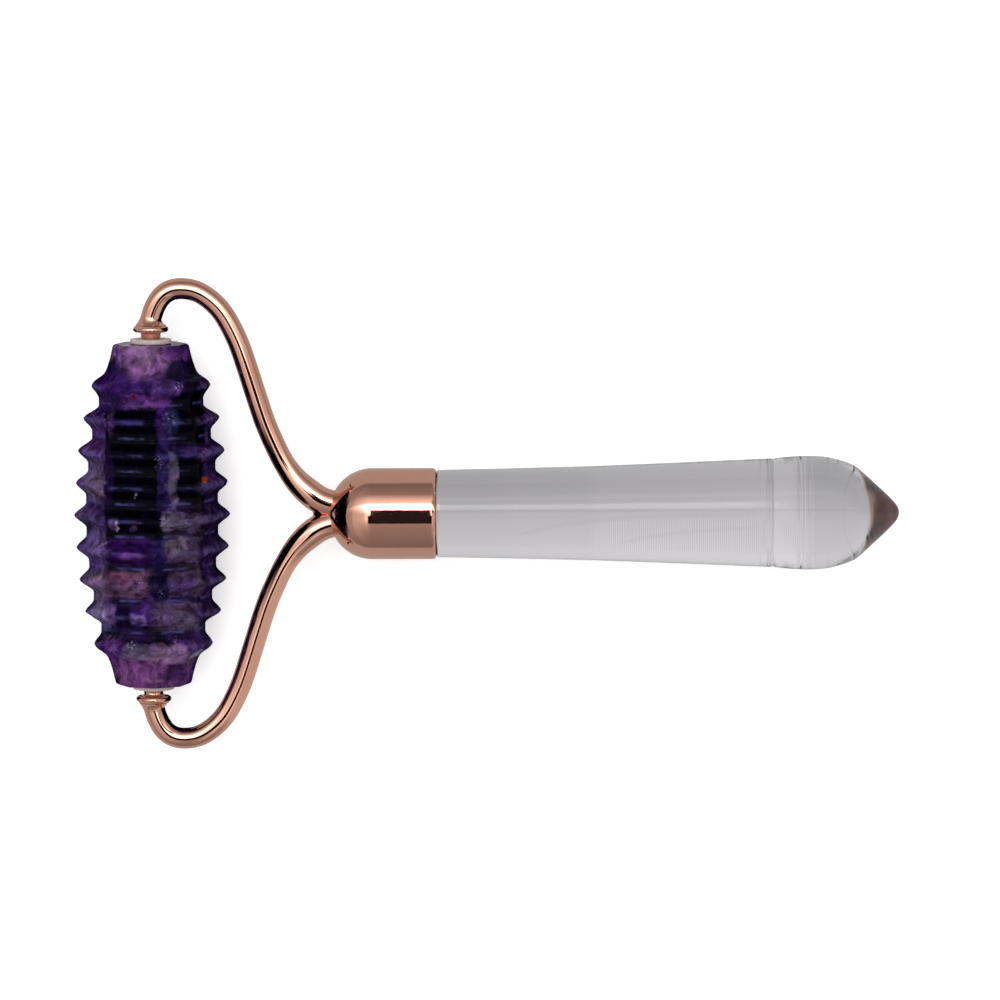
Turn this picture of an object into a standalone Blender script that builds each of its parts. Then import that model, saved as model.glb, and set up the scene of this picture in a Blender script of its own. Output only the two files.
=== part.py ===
"""Spiked stone facial roller with a clear crystal handle.

Metres, +Z up.  The tool lies flat: the handle runs along +X, the stone turns
about an axis along Y, and the floor is z = 0.  Every dimension below is in
millimetres and is measured from the middle of the roller's axis, which an
empty named roller_axis carries; every piece is parented to that empty, so the
turning pieces have their origin on the joint's axis.
"""

import math

import bmesh
import bpy
import numpy as np
from mathutils import Matrix, Vector

MM = 0.001

# ---------------------------------------------------------------- dimensions
# Roller stone: an octagonal barrel with nine saw-tooth rings ground across its
# eight faces, so that each ring ends in eight points on the octagon's corners.
STONE_SIDES = 8
STONE_PHASE_DEG = 4.2        # a corner stands this far past straight up
STONE_HALF_LENGTH = 29.1
RING_PITCH = 5.515
RING_TIP_R = (13.30, 13.00, 12.55, 11.60, 10.17)   # middle ring outwards
VALLEY_R = (11.25, 10.87, 10.12, 8.92)             # between those rings
FLANK_WIDTH = 2.10           # ridge to the edge of the valley floor
SHOULDER = ((23.5, 8.75), (24.2, 7.95), (26.8, 6.90), (28.75, 6.48), (29.1, 6.15))
STONE_BORE_R = 1.80

# Nylon sleeves in the two ends of the bore, loose nylon washers, steel pins.
BUSH_R = 1.73
BUSH_BORE_R = 1.07
BUSH_OUTER_Y = 29.00
BUSH_LENGTH = 8.0
WASHER_R = 3.50
WASHER_BORE_R = 1.25
WASHER_Y = (29.15, 29.95)
PIN_R = 1.00
PIN_Y = (21.5, 34.0)
PIN_CHAMFER = 0.3
PIN_SEAT_R = 1.06

# Collar: a short neck against the washer and a rounded flange.
COLLAR_Y = (30.00, 32.25)
NECK_R = 1.65
NECK_LENGTH = 1.05
FLANGE_R = 3.00
FLANGE_EDGE_R = 0.5

# Arm: one bent round rod on each side, flared where it meets its collar. Near
# the cap it thickens and lies flat against the other arm, along the plane y = 0.
ARM_R = 1.80
ARM_FLARE_R = 2.55
ARM_FLARE_LENGTH = 1.5
ARM_ROOT_R = 2.36
ARM_SWELL_X = (21.6, 27.6)
ARM_SPLIT_GAP = 0.12
ARM_SIDES = 14
ARM_STATIONS = 54
ARM_PATH = (
    (0.0, 32.3), (0.05, 33.1), (0.55, 34.9), (1.6, 36.8), (3.2, 38.1),
    (5.35, 38.5), (7.7, 38.05), (9.9, 36.75), (12.1, 34.5), (13.7, 31.8),
    (15.0, 28.9), (16.1, 25.7), (17.2, 22.2), (18.3, 18.7), (19.45, 15.3),
    (20.85, 12.0), (22.35, 8.95), (23.55, 7.05), (24.85, 5.4), (26.4, 3.92),
    (28.2, 2.58), (30.4, 1.72), (33.0, 1.5), (36.6, 1.5),
)

# Bell cap that joins the arms to the handle.
CAP_NOSE_X = 30.0
CAP_DOME_X = 37.4
CAP_RIM_X = 48.37
CAP_R = 7.75
CAP_RIM_EDGE = 0.75
CAP_WALL = 0.80
CAP_DOME_WALL = 1.0
ARM_HOLE_CLEARANCE = 0.12

# Solder that locks the arm roots in the cap, and the glue round the tenon.
SOLDER_BACK_X = 36.9
SOLDER_GAP = 0.12
GLUE_FLOOR_X = (37.05, 37.45)
GLUE_END_X = 48.2
GLUE_R = (6.53, 6.83)

# Handle: a tapered clear crystal rod with a tenon in the cap, a waist groove,
# a bulge, a round shoulder and a blunt conical point.
TENON_R = 6.40
TENON_X = 37.55
HANDLE_START_X = 48.47
HANDLE_PROFILE = (
    (48.47, 7.30), (48.60, 7.41), (60.0, 7.63), (75.0, 8.00), (90.0, 8.58),
    (103.6, 9.16), (105.1, 9.23), (105.5, 9.16), (105.9, 9.28), (107.8, 9.47),
    (109.9, 9.62), (112.0, 9.65), (114.0, 9.54), (115.9, 9.20), (117.9, 8.62),
    (119.3, 8.02), (120.3, 7.28), (122.1, 5.66), (124.2, 3.72), (125.6, 2.36),
    (126.4, 1.45), (126.8, 0.72), (126.93, 0.0),
)

ROUND_SEGMENTS = 40
SMALL_SEGMENTS = 28

STONE_REACH = RING_TIP_R[0] * math.cos(math.radians(STONE_PHASE_DEG))
ROLLER_X = -(HANDLE_PROFILE[-1][0] - STONE_REACH) / 2
AXIS_Z = STONE_REACH


# ------------------------------------------------------------------- helpers
def clear_scene():
    for obj in list(bpy.data.objects):
        bpy.data.objects.remove(obj, do_unlink=True)


def material(name, colour, roughness, metallic=0.0, transmission=0.0, ior=1.5):
    mat = bpy.data.materials.new(name)
    mat.use_nodes = True
    shader = mat.node_tree.nodes["Principled BSDF"]
    shader.inputs["Base Color"].default_value = (*colour, 1.0)
    shader.inputs["Roughness"].default_value = roughness
    shader.inputs["Metallic"].default_value = metallic
    shader.inputs["Transmission Weight"].default_value = transmission
    shader.inputs["IOR"].default_value = ior
    return mat


def finish(name, bm, mat, root, smooth_deg=35.0):
    """Turns a bmesh made in millimetres into a named object on the roller's axis."""
    bmesh.ops.remove_doubles(bm, verts=bm.verts, dist=1e-4)
    bmesh.ops.recalc_face_normals(bm, faces=bm.faces)
    bmesh.ops.scale(bm, vec=Vector((MM, MM, MM)), verts=bm.verts)
    mesh = bpy.data.meshes.new(name)
    bm.to_mesh(mesh)
    bm.free()
    mesh.shade_smooth()
    mesh.set_sharp_from_angle(angle=math.radians(smooth_deg))
    obj = bpy.data.objects.new(name, mesh)
    if mat:
        mesh.materials.append(mat)
    bpy.context.scene.collection.objects.link(obj)
    obj.parent = root
    return obj


def cutter(obj):
    obj.hide_render = True
    obj.display_type = "WIRE"
    return obj


def cut(obj, tool):
    mod = obj.modifiers.new("cut_" + tool.name, "BOOLEAN")
    mod.operation = "DIFFERENCE"
    mod.solver = "EXACT"
    mod.object = tool


def skin(bm, rings, close=False):
    """Joins rings of vertices, where a ring of one vertex is a pole."""
    pairs = list(zip(rings, rings[1:]))
    if close:
        pairs.append((rings[-1], rings[0]))
    for a, b in pairs:
        count = max(len(a), len(b))
        for i in range(count):
            j = (i + 1) % count
            corners = [a[i % len(a)], a[j % len(a)], b[j % len(b)], b[i % len(b)]]
            corners = [v for k, v in enumerate(corners) if v not in corners[:k]]
            if len(corners) > 2:
                bm.faces.new(corners)


def turned(profile, axis, segments, closed=False, phase=0.0):
    """Spins (station, radius) points about X or Y. A closed profile makes a ring."""
    bm = bmesh.new()
    rings = []
    for station, radius in profile:
        ring = []
        for i in range(1 if radius < 1e-6 else segments):
            angle = phase + 2 * math.pi * i / segments
            across, up = radius * math.sin(angle), radius * math.cos(angle)
            point = (station, across, up) if axis == "X" else (across, station, up)
            ring.append(bm.verts.new(point))
        rings.append(ring)
    skin(bm, rings, closed)
    if not closed:
        for ring in (rings[0], rings[-1]):
            if len(ring) > 2:
                bm.faces.new(ring)
    return bm


def smooth_path(points, count):
    """Evenly spaced stations on a natural cubic spline through the points."""
    points = np.array(points, float)
    knots = np.concatenate([[0.0], np.cumsum(np.linalg.norm(np.diff(points, axis=0), axis=1))])
    gap = np.diff(knots)
    size = len(points)
    system = np.eye(size)
    for i in range(1, size - 1):
        system[i, i - 1 : i + 2] = gap[i - 1], 2 * (gap[i - 1] + gap[i]), gap[i]
    columns = []
    fine = np.linspace(0.0, knots[-1], 1200)
    for values in points.T:
        right = np.zeros(size)
        right[1:-1] = 3 * (np.diff(values[1:]) / gap[1:] - np.diff(values[:-1]) / gap[:-1])
        bend = np.linalg.solve(system, right)
        at = np.clip(np.searchsorted(knots, fine) - 1, 0, size - 2)
        step = fine - knots[at]
        slope = (values[at + 1] - values[at]) / gap[at] - gap[at] * (2 * bend[at] + bend[at + 1]) / 3
        cubic = (bend[at + 1] - bend[at]) / (3 * gap[at])
        columns.append(values[at] + slope * step + bend[at] * step**2 + cubic * step**3)
    curve = np.stack(columns, axis=1)
    along = np.concatenate([[0.0], np.cumsum(np.linalg.norm(np.diff(curve, axis=0), axis=1))])
    stations = np.linspace(0.0, along[-1], count)
    return np.stack([np.interp(stations, along, column) for column in curve.T], axis=1), stations


def rod(path, radii, side, sides=ARM_SIDES):
    """Sweeps a round section along a path that lies in the XY plane."""
    tangent = np.gradient(path, axis=0)
    tangent /= np.linalg.norm(tangent, axis=1)[:, None]
    tangent[0] = (0.0, 1.0)
    tangent[-1] = (1.0, 0.0)
    bm = bmesh.new()
    rings = []
    for (x, y), (tx, ty), radius in zip(path, tangent, radii):
        ring = []
        for i in range(sides):
            angle = 2 * math.pi * i / sides
            out, up = radius * math.cos(angle), radius * math.sin(angle)
            ring.append(bm.verts.new((x - ty * out, side * (y + tx * out), up)))
        rings.append(ring)
    skin(bm, rings)
    bm.faces.new(rings[0])
    bm.faces.new(rings[-1])
    return bm


def arc(centre, radius, start_deg, end_deg, steps):
    """Points (station, radius) on a circular arc, both ends included."""
    return [
        (
            centre[0] + radius * math.cos(math.radians(start_deg + (end_deg - start_deg) * k / steps)),
            centre[1] + radius * math.sin(math.radians(start_deg + (end_deg - start_deg) * k / steps)),
        )
        for k in range(steps + 1)
    ]


# -------------------------------------------------------------------- pieces
def stone_profile():
    """Corner radius along the stone: saw-tooth rings between two plain shoulders."""
    half = []
    rise = (1.0, 0.84, 0.62, 0.40, 0.18, 0.0)
    for ring, tip in enumerate(RING_TIP_R):
        centre = ring * RING_PITCH
        if ring:
            floor = VALLEY_R[ring - 1]
            for u in reversed(rise[1:]):
                height = 0.85 * (3 * u * u - 2 * u**3) + 0.15 * u
                half.append((centre - FLANK_WIDTH * (1 - u), floor + (tip - floor) * height))
        half.append((centre, tip))
        if ring < len(VALLEY_R):
            floor = VALLEY_R[ring]
            for u in rise[1:]:
                height = 0.85 * (3 * u * u - 2 * u**3) + 0.15 * u
                half.append((centre + FLANK_WIDTH * (1 - u), floor + (tip - floor) * height))
    half += [(22.55, 9.85), (23.0, 9.40), *SHOULDER]
    return [(-y, r) for y, r in reversed(half[1:])] + half


def build():
    clear_scene()
    root = bpy.data.objects.new("roller_axis", None)
    root.empty_display_size = 0.01
    root.location = (ROLLER_X * MM, 0.0, AXIS_Z * MM)
    bpy.context.scene.collection.objects.link(root)

    amethyst = material("amethyst", (0.10, 0.035, 0.20), 0.18)
    nylon_white = material("nylon_white", (0.66, 0.64, 0.62), 0.42)
    nylon_bush = material("nylon_bush", (0.70, 0.69, 0.66), 0.45)
    steel = material("steel", (0.55, 0.55, 0.56), 0.25, metallic=1.0)
    rose_gold = material("rose_gold", (0.78, 0.46, 0.35), 0.08, metallic=1.0)
    rose_collar = material("rose_gold_collar", (0.78, 0.46, 0.35), 0.10, metallic=1.0)
    rose_cap = material("rose_gold_cap", (0.78, 0.46, 0.35), 0.06, metallic=1.0)
    solder = material("solder", (0.62, 0.42, 0.34), 0.35, metallic=1.0)
    glue = material("clear_glue", (0.80, 0.78, 0.74), 0.25, transmission=0.6)
    crystal = material("clear_crystal", (0.93, 0.94, 0.95), 0.03, transmission=1.0, ior=1.54)

    # The stone, drilled right through.
    phase = math.radians(STONE_PHASE_DEG)
    stone = finish("roller_stone", turned(stone_profile(), "Y", STONE_SIDES, phase=phase), amethyst, root, 15.0)
    drill = turned([(-35.0, STONE_BORE_R), (35.0, STONE_BORE_R)], "Y", SMALL_SEGMENTS)
    cut(stone, cutter(finish("stone_drill", drill, None, root)))

    # The arm's centre line and its radius: flared at the collar, swollen at the root.
    path, along = smooth_path(ARM_PATH, ARM_STATIONS)
    flare = np.clip(1 - along / ARM_FLARE_LENGTH, 0, 1) ** 2.2
    swell = np.clip((path[:, 0] - ARM_SWELL_X[0]) / (ARM_SWELL_X[1] - ARM_SWELL_X[0]), 0, 1)
    swell = swell**2 * (3 - 2 * swell)
    arm_radii = ARM_R + (ARM_FLARE_R - ARM_R) * flare + (ARM_ROOT_R - ARM_R) * swell
    past_end = np.concatenate([path, path[-1:] + (1.2, 0.0)])
    hole_radii = np.append(arm_radii, arm_radii[-1]) + ARM_HOLE_CLEARANCE

    hole_cutters = []
    for label, side in (("upper", 1), ("lower", -1)):
        bush_inner = BUSH_OUTER_Y - BUSH_LENGTH
        bush = [
            (side * bush_inner, BUSH_BORE_R), (side * bush_inner, BUSH_R),
            (side * BUSH_OUTER_Y, BUSH_R), (side * BUSH_OUTER_Y, BUSH_BORE_R),
        ]
        finish(label + "_bush", turned(bush, "Y", SMALL_SEGMENTS, closed=True), nylon_bush, root)

        low, high = WASHER_Y
        washer = [
            (side * low, WASHER_BORE_R), (side * low, WASHER_R - 0.15),
            (side * (low + 0.15), WASHER_R), (side * (high - 0.15), WASHER_R),
            (side * high, WASHER_R - 0.15), (side * high, WASHER_BORE_R),
        ]
        finish(label + "_washer", turned(washer, "Y", SMALL_SEGMENTS + 4, closed=True), nylon_white, root)

        start, end = PIN_Y
        pin = [
            (side * start, 0.0), (side * start, PIN_R - PIN_CHAMFER),
            (side * (start + PIN_CHAMFER), PIN_R), (side * end, PIN_R), (side * end, 0.0),
        ]
        finish(label + "_pin", turned(pin, "Y", SMALL_SEGMENTS), steel, root)

        low, high = COLLAR_Y
        flange_low = low + NECK_LENGTH
        edge = FLANGE_R - FLANGE_EDGE_R
        bead = [
            (side * y, r)
            for y, r in arc((flange_low + FLANGE_EDGE_R, edge), FLANGE_EDGE_R, 180, 90, 3)
            + arc((high - FLANGE_EDGE_R, edge), FLANGE_EDGE_R, 90, 0, 3)
        ]
        collar = [
            (side * low, PIN_SEAT_R), (side * low, NECK_R), (side * flange_low, NECK_R),
            *bead, (side * high, PIN_SEAT_R),
        ]
        finish(label + "_collar", turned(collar, "Y", SMALL_SEGMENTS, closed=True), rose_collar, root)

        arm = finish(label + "_arm", rod(path, arm_radii, side), rose_gold, root, 50.0)
        seat = turned([(side * 31.5, PIN_SEAT_R), (side * (end + 0.1), PIN_SEAT_R)], "Y", SMALL_SEGMENTS)
        cut(arm, cutter(finish(label + "_pin_drill", seat, None, root)))

        other_half = bmesh.new()
        bmesh.ops.create_cube(
            other_half, size=1.0,
            matrix=Matrix.Translation((32.0, side * (ARM_SPLIT_GAP / 2 - 2.5), 0))
            @ Matrix.Diagonal((14.0, 5.0, 8.0, 1.0)),
        )
        cut(arm, cutter(finish(label + "_split", other_half, None, root)))

        hole_cutters.append(
            cutter(finish(label + "_arm_hole", rod(past_end, hole_radii, side), None, root))
        )

    # Bell cap: a turned shell with a round nose, open at the rim.
    reach = CAP_DOME_X - CAP_NOSE_X
    outer = [
        (CAP_DOME_X - reach * math.cos(math.radians(a)), CAP_R * math.sin(math.radians(a)))
        for a in (0, 9, 18, 27, 36, 45, 54, 63, 72, 81, 90)
    ]
    rim = arc((CAP_RIM_X - CAP_RIM_EDGE, CAP_R - CAP_RIM_EDGE), CAP_RIM_EDGE, 90, 15, 4)
    bore_r = CAP_R - CAP_WALL
    inner = [
        (CAP_DOME_X - (reach - CAP_DOME_WALL) * math.cos(math.radians(a)), bore_r * math.sin(math.radians(a)))
        for a in (90, 75, 60, 45, 30, 15, 0)
    ]
    cap = finish(
        "ferrule_cap",
        turned(outer + rim + [(CAP_RIM_X, bore_r)] + inner, "X", ROUND_SEGMENTS),
        rose_cap, root,
    )
    for tool in hole_cutters:
        cut(cap, tool)

    # Solder: a plug that fills the dome round the arm roots.
    fill = [
        (
            CAP_DOME_X - (reach - CAP_DOME_WALL - SOLDER_GAP) * math.cos(math.radians(a)),
            (bore_r - SOLDER_GAP) * math.sin(math.radians(a)),
        )
        for a in (0, 15, 30, 45, 60, 75)
    ]
    across = (bore_r - SOLDER_GAP) * math.sin(
        math.acos((CAP_DOME_X - SOLDER_BACK_X) / (reach - CAP_DOME_WALL - SOLDER_GAP))
    )
    plug = finish(
        "arm_root_solder",
        turned([*fill, (SOLDER_BACK_X, across), (SOLDER_BACK_X, 0.0)], "X", 32),
        solder, root,
    )
    for tool in hole_cutters:
        cut(plug, tool)

    # Glue cup round the tenon.
    cup = [
        (GLUE_FLOOR_X[0], 0.0), (GLUE_FLOOR_X[0], GLUE_R[1]), (GLUE_END_X, GLUE_R[1]),
        (GLUE_END_X, GLUE_R[0]), (GLUE_FLOOR_X[1], GLUE_R[0]), (GLUE_FLOOR_X[1], 0.0),
    ]
    finish("handle_adhesive", turned(cup, "X", ROUND_SEGMENTS), glue, root)

    # Crystal handle with its tenon.
    handle = [(TENON_X, 0.0), (TENON_X, TENON_R - 0.3), (TENON_X + 0.3, TENON_R), (HANDLE_START_X, TENON_R)]
    finish("handle_crystal", turned(handle + list(HANDLE_PROFILE), "X", ROUND_SEGMENTS), crystal, root)


build()
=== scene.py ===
"""Spiked amethyst facial roller with a clear crystal handle, lying flat in a pale studio."""

import math

import bmesh
import bpy
import numpy as np
from mathutils import Matrix, Vector, noise


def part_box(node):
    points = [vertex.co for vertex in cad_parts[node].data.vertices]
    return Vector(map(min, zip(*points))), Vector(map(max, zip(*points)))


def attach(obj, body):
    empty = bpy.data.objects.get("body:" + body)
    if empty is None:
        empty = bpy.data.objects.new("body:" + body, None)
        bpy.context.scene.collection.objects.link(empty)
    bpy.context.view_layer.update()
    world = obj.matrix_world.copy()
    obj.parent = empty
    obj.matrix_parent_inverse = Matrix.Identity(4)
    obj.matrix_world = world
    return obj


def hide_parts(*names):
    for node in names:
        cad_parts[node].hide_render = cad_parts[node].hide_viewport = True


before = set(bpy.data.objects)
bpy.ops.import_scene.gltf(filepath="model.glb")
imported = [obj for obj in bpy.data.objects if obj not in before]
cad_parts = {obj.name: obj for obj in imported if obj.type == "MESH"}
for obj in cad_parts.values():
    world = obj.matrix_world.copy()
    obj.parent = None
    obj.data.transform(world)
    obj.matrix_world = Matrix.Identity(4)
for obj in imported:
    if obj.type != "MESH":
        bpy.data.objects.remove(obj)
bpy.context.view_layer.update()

# The roller's axis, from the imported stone: every dimension below is in
# millimetres from its middle.
STONE_LOW, STONE_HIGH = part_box("roller_stone")
AXIS = (STONE_LOW + STONE_HIGH) / 2
TAU = 2 * math.pi


# ------------------------------------------------------------------ node tools
class Tree:
    """A short way to write node trees. A value is a number or another node's output."""

    def __init__(self, tree):
        self.tree = tree
        tree.nodes.clear()

    def node(self, kind, inputs=None, out=0, **settings):
        made = self.tree.nodes.new(kind)
        for key, value in settings.items():
            setattr(made, key, value)
        for key, value in (inputs or {}).items():
            self.put(made.inputs[key], value)
        self.last = made
        return made.outputs[out]

    def put(self, socket, value):
        if isinstance(value, bpy.types.NodeSocket):
            self.tree.links.new(value, socket)
        elif value is not None:
            socket.default_value = value

    def maths(self, operation, *values, clamp=False):
        inputs = {i: v for i, v in enumerate(values)}
        return self.node("ShaderNodeMath", inputs, operation=operation, use_clamp=clamp)

    def vector(self, operation, *values):
        inputs = {i: v for i, v in enumerate(values)}
        out = 1 if operation in ("LENGTH", "DOT_PRODUCT", "DISTANCE") else 0
        return self.node("ShaderNodeVectorMath", inputs, out=out, operation=operation)

    def remap(self, value, low, high, to_low=0.0, to_high=1.0, smooth=True):
        return self.node(
            "ShaderNodeMapRange",
            {"Value": value, "From Min": low, "From Max": high, "To Min": to_low, "To Max": to_high},
            interpolation_type="SMOOTHSTEP" if smooth else "LINEAR",
            clamp=True,
        )

    def mix(self, share, a, b):
        """Colours a to b by share."""
        made = self.tree.nodes.new("ShaderNodeMix")
        made.data_type = "RGBA"
        made.clamp_factor = True
        for key, value in ((0, share), (6, a), (7, b)):
            if isinstance(value, (tuple, list)) and len(value) == 3:
                value = (*value, 1.0)
            self.put(made.inputs[key], value)
        return made.outputs[2]

    def number(self, share, a, b):
        return self.node("ShaderNodeMix", {0: share, 2: a, 3: b}, data_type="FLOAT", clamp_factor=True)

    def noise(self, vector, scale, detail=2.0, rough=0.5, distort=0.0, colour=False):
        return self.node(
            "ShaderNodeTexNoise",
            {"Vector": vector, "Scale": scale, "Detail": detail, "Roughness": rough, "Distortion": distort},
            out=1 if colour else 0,
        )

    def local(self):
        """Object coordinates in millimetres from the middle of the roller's axis."""
        place = self.node("ShaderNodeTexCoord", out=3)
        moved = self.vector("SUBTRACT", place, tuple(AXIS))
        scaled = self.node("ShaderNodeVectorMath", {0: moved}, operation="SCALE")
        self.last.inputs["Scale"].default_value = 1000.0
        return scaled


def rgb(*parts):
    """A display colour, 0 to 255, as a linear one."""
    linear = [((p / 255 + 0.055) / 1.055) ** 2.4 if p > 10.3 else p / 255 / 12.92 for p in parts]
    return (*linear, 1.0)


def new_material(name):
    mat = bpy.data.materials.new(name)
    mat.use_nodes = True
    tree = Tree(mat.node_tree)
    out = tree.tree.nodes.new("ShaderNodeOutputMaterial")
    shader = tree.tree.nodes.new("ShaderNodeBsdfPrincipled")
    tree.tree.links.new(shader.outputs[0], out.inputs[0])
    return mat, tree, shader


# ------------------------------------------------------------------ mesh tools
def piece(name, rings, mat, body, replaces=(), close=False, cap=True, sharp=32.0):
    """Skins rings of points in millimetres into one closed mesh, and rides it on a body."""
    mesh = bpy.data.meshes.new(name)
    bm = bmesh.new()
    rows = [[bm.verts.new(Vector(p) * 0.001 + AXIS) for p in ring] for ring in rings]
    pairs = list(zip(rows, rows[1:]))
    if close:
        pairs.append((rows[-1], rows[0]))
    for a, b in pairs:
        count = max(len(a), len(b))
        for i in range(count):
            j = (i + 1) % count
            corners = [a[i % len(a)], a[j % len(a)], b[j % len(b)], b[i % len(b)]]
            corners = [v for k, v in enumerate(corners) if v not in corners[:k]]
            if len(corners) > 2:
                bm.faces.new(corners)
    if cap and not close:
        for row in (rows[0], rows[-1]):
            if len(row) > 2:
                bm.faces.new(row)
    bmesh.ops.recalc_face_normals(bm, faces=bm.faces)
    bm.to_mesh(mesh)
    bm.free()
    mesh.shade_smooth()
    mesh.set_sharp_from_angle(angle=math.radians(sharp))
    mesh.materials.append(mat)
    obj = bpy.data.objects.new(name, mesh)
    bpy.context.scene.collection.objects.link(obj)
    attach(obj, body)
    if replaces:
        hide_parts(*replaces)
    return obj


def turned(profile, axis, segments):
    """Rings of points for a profile of (station, radius) turned about X or Y."""
    rings = []
    for station, radius in profile:
        ring = []
        for i in range(1 if radius < 1e-6 else segments):
            angle = TAU * i / segments
            across, up = radius * math.sin(angle), radius * math.cos(angle)
            ring.append((station, across, up) if axis == "X" else (across, station, up))
        rings.append(ring)
    return rings


def arc(centre, radius, start, end, steps):
    return [
        (
            centre[0] + radius * math.cos(math.radians(start + (end - start) * k / steps)),
            centre[1] + radius * math.sin(math.radians(start + (end - start) * k / steps)),
        )
        for k in range(steps + 1)
    ]


def spline(points, count):
    """Evenly spaced stations on a natural cubic spline through the points."""
    points = np.array(points, float)
    knots = np.concatenate([[0.0], np.cumsum(np.linalg.norm(np.diff(points, axis=0), axis=1))])
    gap = np.diff(knots)
    size = len(points)
    system = np.eye(size)
    for i in range(1, size - 1):
        system[i, i - 1 : i + 2] = gap[i - 1], 2 * (gap[i - 1] + gap[i]), gap[i]
    columns = []
    fine = np.linspace(0.0, knots[-1], 3000)
    for values in points.T:
        right = np.zeros(size)
        right[1:-1] = 3 * (np.diff(values[1:]) / gap[1:] - np.diff(values[:-1]) / gap[:-1])
        bend = np.linalg.solve(system, right)
        at = np.clip(np.searchsorted(knots, fine) - 1, 0, size - 2)
        step = fine - knots[at]
        slope = (values[at + 1] - values[at]) / gap[at] - gap[at] * (2 * bend[at] + bend[at + 1]) / 3
        cubic = (bend[at + 1] - bend[at]) / (3 * gap[at])
        columns.append(values[at] + slope * step + bend[at] * step**2 + cubic * step**3)
    curve = np.stack(columns, axis=1)
    along = np.concatenate([[0.0], np.cumsum(np.linalg.norm(np.diff(curve, axis=0), axis=1))])
    stations = np.linspace(0.0, along[-1], count)
    return np.stack([np.interp(stations, along, column) for column in curve.T], axis=1), stations


def step01(t):
    t = np.clip(t, 0.0, 1.0)
    return t * t * (3 - 2 * t)


# ------------------------------------------------------------------- materials
def rose_gold(name, roughness, wear):
    """Polished rose-gold plating, with faint clouding and hairlines where it is handled."""
    mat, t, shader = new_material(name)
    p = t.local()
    cloud = t.noise(p, 0.22, 4.0, 0.55)
    hair = t.noise(t.vector("MULTIPLY", p, (0.35, 3.5, 3.5)), 2.2, 3.0, 0.6)
    tint = t.remap(cloud, 0.35, 0.7)
    colour = t.mix(tint, (0.89, 0.475, 0.35), (0.865, 0.45, 0.325))
    t.put(shader.inputs["Base Color"], colour)
    shader.inputs["Metallic"].default_value = 1.0
    rough = t.maths("ADD", t.remap(cloud, 0.3, 0.8, roughness, roughness + wear, smooth=False), t.remap(hair, 0.55, 0.8, 0.0, wear * 0.6))
    t.put(shader.inputs["Roughness"], rough)
    bump = t.node("ShaderNodeBump", {"Height": hair, "Strength": 0.015, "Distance": 0.0002})
    t.put(shader.inputs["Normal"], bump)
    return mat


def nylon(name, tone, shade):
    mat, t, shader = new_material(name)
    p = t.local()
    fine = t.noise(p, 1.6, 4.0, 0.6)
    colour = t.mix(t.remap(fine, 0.3, 0.7), tone, shade)
    t.put(shader.inputs["Base Color"], colour)
    t.put(shader.inputs["Roughness"], t.remap(fine, 0.3, 0.7, 0.34, 0.5))
    shader.inputs["IOR"].default_value = 1.53
    bump = t.node("ShaderNodeBump", {"Height": fine, "Strength": 0.1, "Distance": 0.0001})
    t.put(shader.inputs["Normal"], bump)
    return mat


def steel(name):
    mat, t, shader = new_material(name)
    p = t.local()
    lines = t.noise(t.vector("MULTIPLY", p, (1.0, 9.0, 1.0)), 1.5, 3.0, 0.6)
    t.put(shader.inputs["Base Color"], t.mix(lines, (0.50, 0.50, 0.51), (0.62, 0.62, 0.63)))
    shader.inputs["Metallic"].default_value = 1.0
    t.put(shader.inputs["Roughness"], t.remap(lines, 0.3, 0.7, 0.2, 0.34))
    return mat


def solder(name):
    mat, t, shader = new_material(name)
    p = t.local()
    lumps = t.noise(p, 1.1, 4.0, 0.55)
    t.put(shader.inputs["Base Color"], t.mix(lumps, (0.42, 0.20, 0.13), (0.62, 0.34, 0.24)))
    shader.inputs["Metallic"].default_value = 1.0
    t.put(shader.inputs["Roughness"], t.remap(lumps, 0.3, 0.7, 0.3, 0.5))
    bump = t.node("ShaderNodeBump", {"Height": lumps, "Strength": 0.4, "Distance": 0.0004})
    t.put(shader.inputs["Normal"], bump)
    return mat


def glue(name):
    mat, t, shader = new_material(name)
    p = t.local()
    blot = t.noise(p, 0.8, 3.0, 0.5)
    t.put(shader.inputs["Base Color"], t.mix(blot, (0.42, 0.225, 0.17), (0.30, 0.155, 0.12)))
    t.put(shader.inputs["Roughness"], t.remap(blot, 0.3, 0.7, 0.2, 0.38))
    shader.inputs["IOR"].default_value = 1.5
    return mat


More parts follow.
